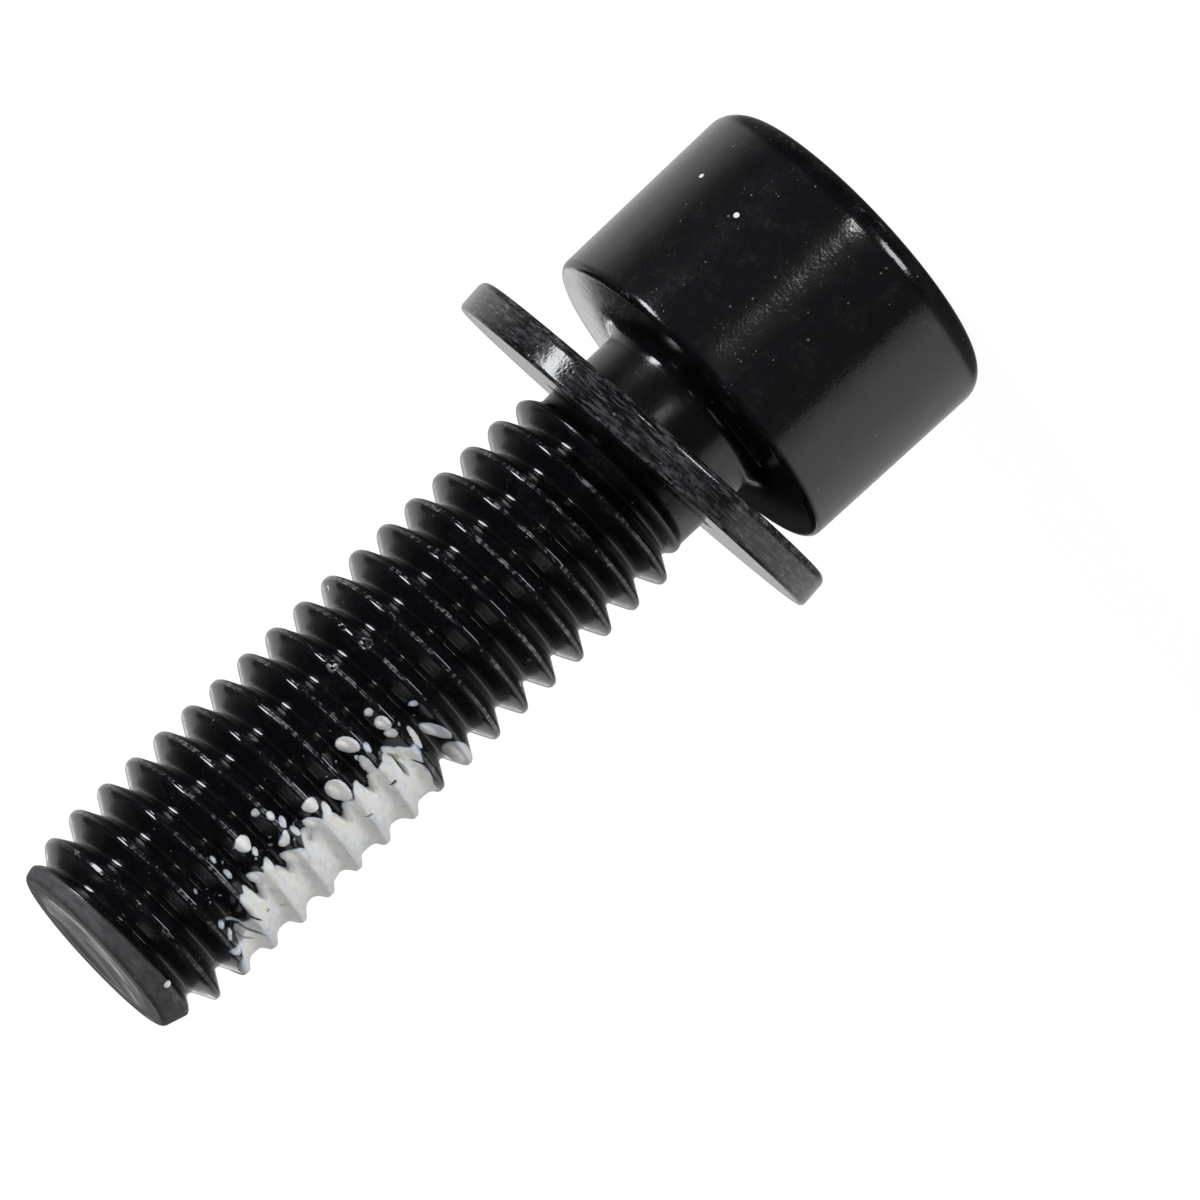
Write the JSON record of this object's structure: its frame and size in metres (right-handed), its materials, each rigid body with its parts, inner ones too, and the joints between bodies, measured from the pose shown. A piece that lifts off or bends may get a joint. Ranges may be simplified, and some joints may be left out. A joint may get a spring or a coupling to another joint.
{
  "type": "flat mount bolt",
  "caption": "Hexagon socket head cap screw with a necked shank, a loose captive washer and a dry thread-lock patch, for fixing a flat mount bicycle brake.",
  "frame": {"origin": "on the bolt's axis at the end face of the head, where it stands on its head", "axes": "+Z along the bolt's axis, from the head's end face to the thread's tip; the washer's high side lies between +X and -Y, and the thread-lock patch is on the -X side"},
  "size_m": [0.0095, 0.0094, 0.022],
  "materials": {
    "black_coated_steel": "glossy black coating over forged and rolled steel, worn thin on the thread crests",
    "black_washer_steel": "glossy black coating over stamped steel, worn along both edges",
    "thread_lock_patch": "dried chalky white thread-lock adhesive"
  },
  "bodies": {
    "bolt": {"bolt": "black_coated_steel"},
    "washer": {"captive_washer": "black_washer_steel"}
  },
  "joints": [
    {"name": "washer_spin", "type": "hinge", "parent": "bolt", "child": "washer", "pos_m": [0, 0, 0.0063], "axis": [0, 0, 1], "continuous": true}
  ]
}
